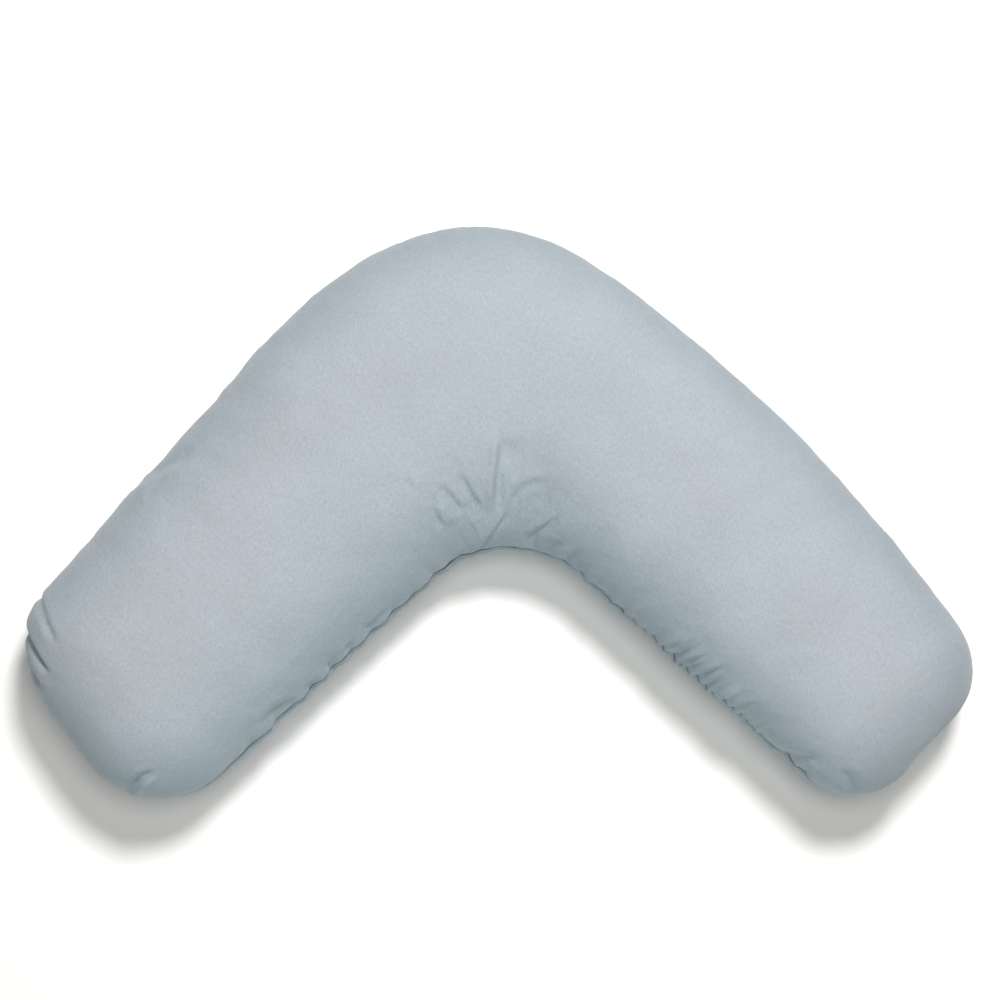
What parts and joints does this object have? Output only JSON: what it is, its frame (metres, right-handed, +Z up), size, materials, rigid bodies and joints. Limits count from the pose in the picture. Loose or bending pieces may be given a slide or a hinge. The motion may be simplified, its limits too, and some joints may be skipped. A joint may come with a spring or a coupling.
{
  "type": "nursing pillow",
  "caption": "V-shaped nursing pillow: zipped washed-cotton cover over an inner cushion with a fibre filling; the zip's slider and pull move.",
  "frame": {"origin": "under the middle of the whole pillow, on the surface that it lies on", "axes": "+X from the left arm's end to the right arm's end, -Y out of the open side of the V, +Z up from the rest face"},
  "size_m": [0.7538, 0.4544, 0.148],
  "materials": {
    "cover_cotton": "matte",
    "sewing_thread": "matte",
    "casing_cotton": "matte",
    "casing_thread": "matte",
    "polyester_fibre": "matte",
    "label_tape": "satin",
    "zip_tape": "matte",
    "zip_nylon": "satin",
    "zip_metal": "satin"
  },
  "bodies": {
    "root": {"cover_top_panel": "cover_cotton", "cover_bottom_panel": "cover_cotton", "cover_seam_thread": "sewing_thread", "inner_casing_top_panel": "casing_cotton", "inner_casing_bottom_panel": "casing_cotton", "inner_casing_seam_thread": "casing_thread", "fibre_filling": "polyester_fibre", "care_label": "label_tape", "zip_upper_tape": "zip_tape", "zip_lower_tape": "zip_tape", "zip_upper_coil": "zip_nylon", "zip_lower_coil": "zip_nylon", "zip_upper_stitching": "sewing_thread", "zip_lower_stitching": "sewing_thread", "zip_upper_top_stop": "zip_metal", "zip_lower_top_stop": "zip_metal", "zip_bottom_stop": "zip_metal"},
    "zip_slider": {"zip_slider_body": "zip_metal"},
    "zip_pull": {"zip_pull_tab": "zip_metal"}
  },
  "joints": [
    {"name": "zip_travel", "type": "hinge", "parent": "root", "child": "zip_slider", "pos_m": [-0.62868, -0.79913, 0.038], "axis": [0, 0, 1], "range_deg": [-13, 0]},
    {"name": "pull_swing", "type": "hinge", "parent": "zip_slider", "child": "zip_pull", "pos_m": [0.13038, 0.15738, 0.03691], "axis": [0.25, 0.3151, 0.9155], "range_deg": [0, 180]}
  ]
}
